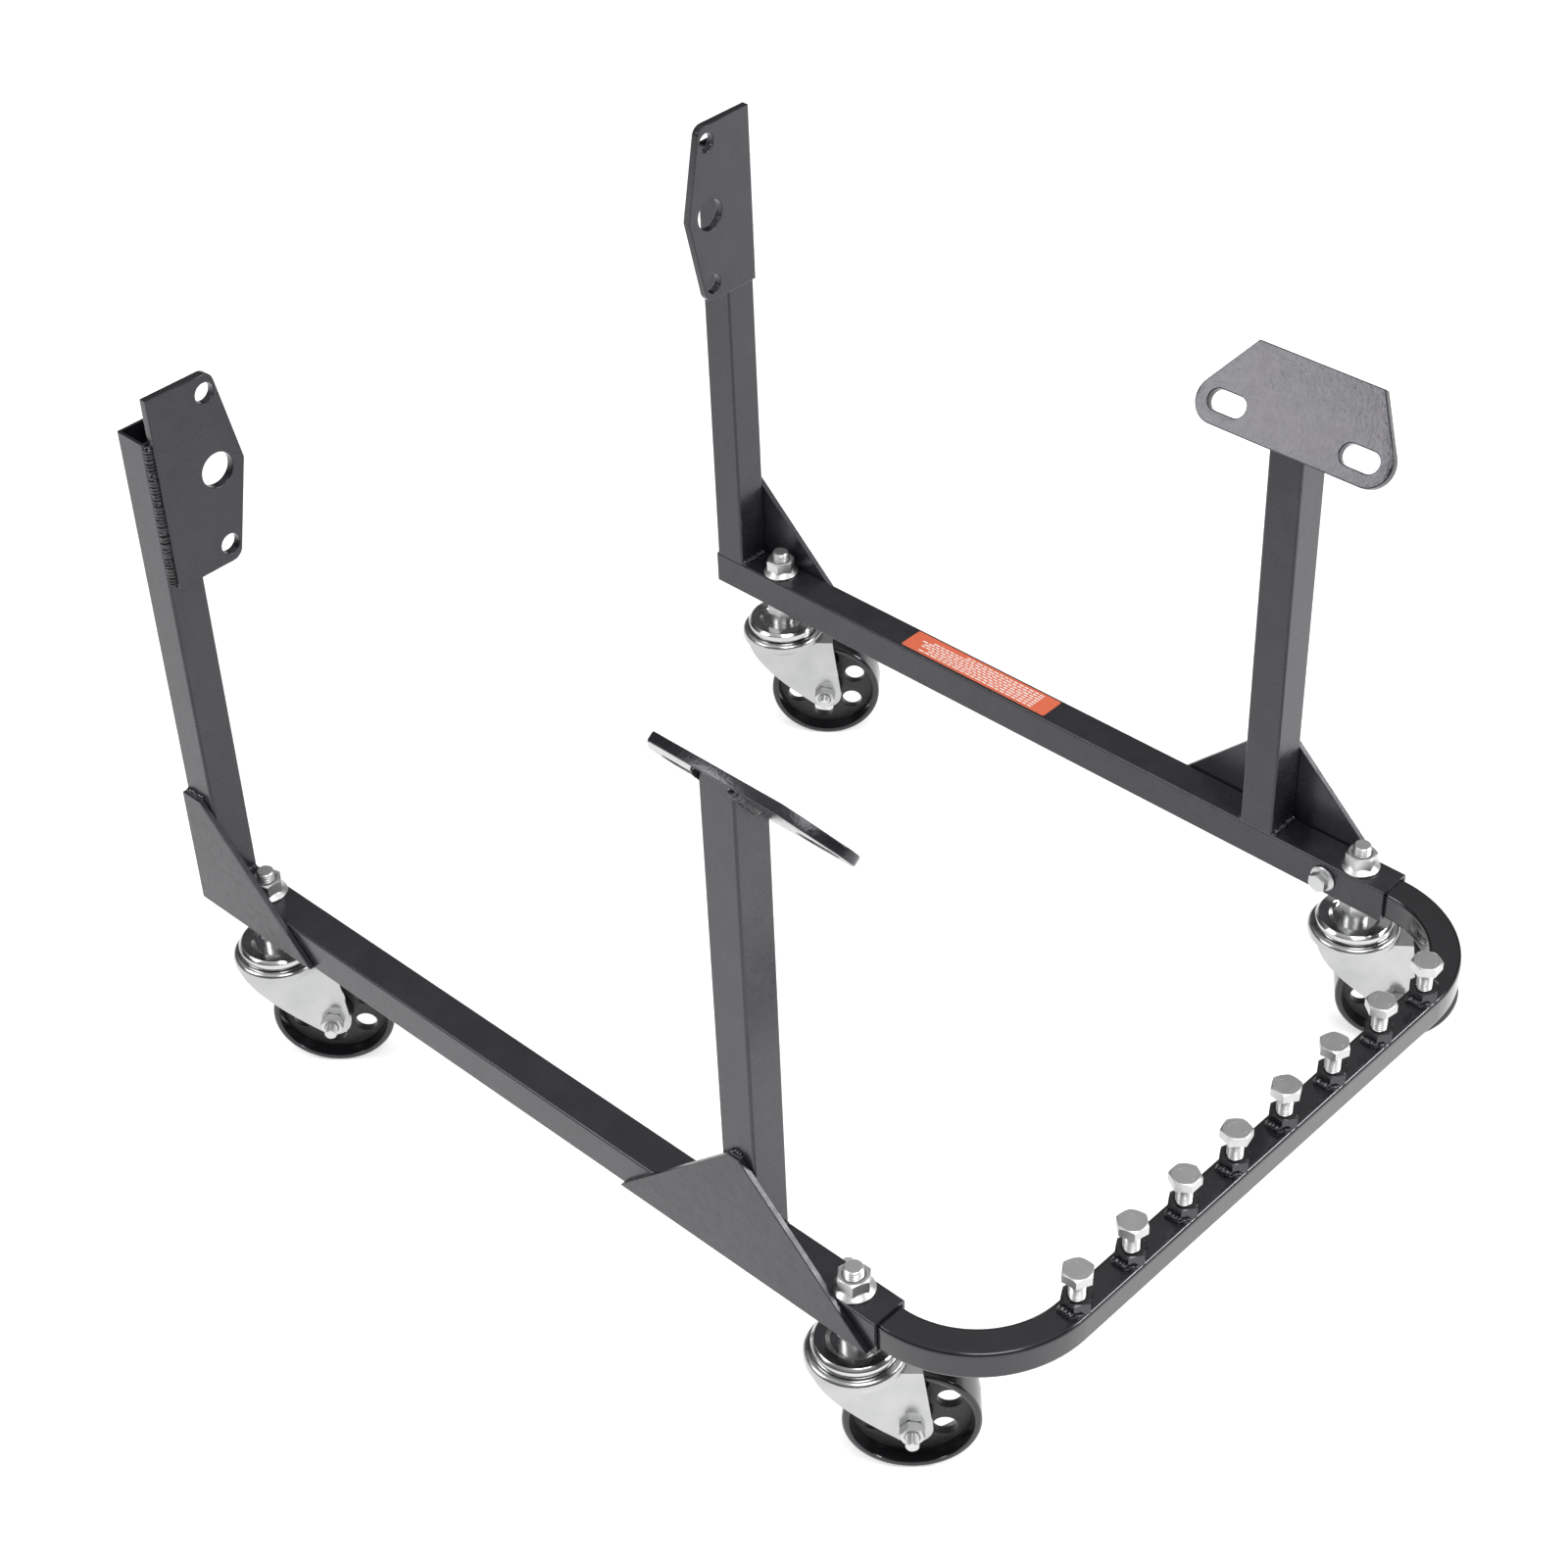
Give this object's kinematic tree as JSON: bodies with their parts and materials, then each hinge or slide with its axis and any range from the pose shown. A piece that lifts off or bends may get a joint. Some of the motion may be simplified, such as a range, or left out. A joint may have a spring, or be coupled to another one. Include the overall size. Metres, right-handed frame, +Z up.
{
  "type": "engine stand",
  "caption": "Rolling engine stand: two welded side frames joined by a U bar, with slotted and drilled mounting plates, stored bolts and swivel casters.",
  "frame": {"origin": "middle of the bounding box on the floor, with the casters swivelled as stored", "axes": "+Z up, +Y from the U bar to the rear plates, +X from the left side frame to the right one"},
  "size_m": [0.563, 0.671, 0.5],
  "materials": {
    "powder_coat": "satin black powder coat with fine orange peel",
    "gloss_black": "gloss black paint",
    "zinc": "bright zinc plate",
    "bright_zinc": "polished zinc plate",
    "plain_steel": "plain steel",
    "cast_wheel": "black painted iron casting",
    "sticker": "orange printed sticker"
  },
  "bodies": {
    "frame": {"left_rail": "powder_coat", "right_rail": "powder_coat", "rear_post_left": "powder_coat", "rear_post_right": "powder_coat", "front_post_left": "powder_coat", "front_post_right": "powder_coat", "front_gusset_left": "powder_coat", "front_gusset_right": "powder_coat", "rear_gusset_left": "powder_coat", "rear_gusset_right": "powder_coat", "bell_plate_left": "powder_coat", "bell_plate_right": "powder_coat", "mount_plate_left": "powder_coat", "mount_plate_right": "powder_coat", "u_tube": "gloss_black", "weld_nuts": "gloss_black", "storage_bolts": "zinc", "lock_bolts": "zinc", "lock_nuts": "plain_steel", "label": "sticker", "welds_left": "gloss_black", "welds_right": "gloss_black", "nut_welds": "gloss_black", "stems": "zinc", "stem_nuts": "zinc", "race_cap_fl": "bright_zinc", "race_cap_rl": "bright_zinc", "race_cap_fr": "bright_zinc", "race_cap_rr": "bright_zinc"},
    "caster_fl": {"fork_fl": "bright_zinc", "balls_fl": "plain_steel", "axle_bolt_fl": "zinc", "axle_nut_fl": "zinc", "spacer_fl": "plain_steel"},
    "rolling_fl": {"wheel_fl": "cast_wheel"},
    "caster_rl": {"fork_rl": "bright_zinc", "balls_rl": "plain_steel", "axle_bolt_rl": "zinc", "axle_nut_rl": "zinc", "spacer_rl": "plain_steel"},
    "rolling_rl": {"wheel_rl": "cast_wheel"},
    "caster_fr": {"fork_fr": "bright_zinc", "balls_fr": "plain_steel", "axle_bolt_fr": "zinc", "axle_nut_fr": "zinc", "spacer_fr": "plain_steel"},
    "rolling_fr": {"wheel_fr": "cast_wheel"},
    "caster_rr": {"fork_rr": "bright_zinc", "balls_rr": "plain_steel", "axle_bolt_rr": "zinc", "axle_nut_rr": "zinc", "spacer_rr": "plain_steel"},
    "rolling_rr": {"wheel_rr": "cast_wheel"}
  },
  "joints": [
    {"name": "swivel_fl", "type": "hinge", "parent": "frame", "child": "caster_fl", "pos_m": [-0.25153, -0.2285, 0.092], "axis": [0, 0, 1], "continuous": true},
    {"name": "roll_fl", "type": "hinge", "parent": "caster_fl", "child": "rolling_fl", "pos_m": [-0.23079, -0.25154, 0.04], "axis": [-0.7431, -0.6691, 0], "continuous": true},
    {"name": "swivel_rl", "type": "hinge", "parent": "frame", "child": "caster_rl", "pos_m": [-0.25153, 0.282, 0.092], "axis": [0, 0, 1], "continuous": true},
    {"name": "roll_rl", "type": "hinge", "parent": "caster_rl", "child": "rolling_rl", "pos_m": [-0.23039, 0.25933, 0.04], "axis": [-0.7314, -0.682, 0], "continuous": true},
    {"name": "swivel_fr", "type": "hinge", "parent": "frame", "child": "caster_fr", "pos_m": [0.22847, -0.2285, 0.092], "axis": [0, 0, 1], "continuous": true},
    {"name": "roll_fr", "type": "hinge", "parent": "caster_fr", "child": "rolling_fr", "pos_m": [0.24755, -0.25293, 0.04], "axis": [-0.788, -0.6157, 0], "continuous": true},
    {"name": "swivel_rr", "type": "hinge", "parent": "frame", "child": "caster_rr", "pos_m": [0.22847, 0.282, 0.092], "axis": [0, 0, 1], "continuous": true},
    {"name": "roll_rr", "type": "hinge", "parent": "caster_rr", "child": "rolling_rr", "pos_m": [0.24798, 0.25791, 0.04], "axis": [-0.7771, -0.6293, 0], "continuous": true}
  ]
}
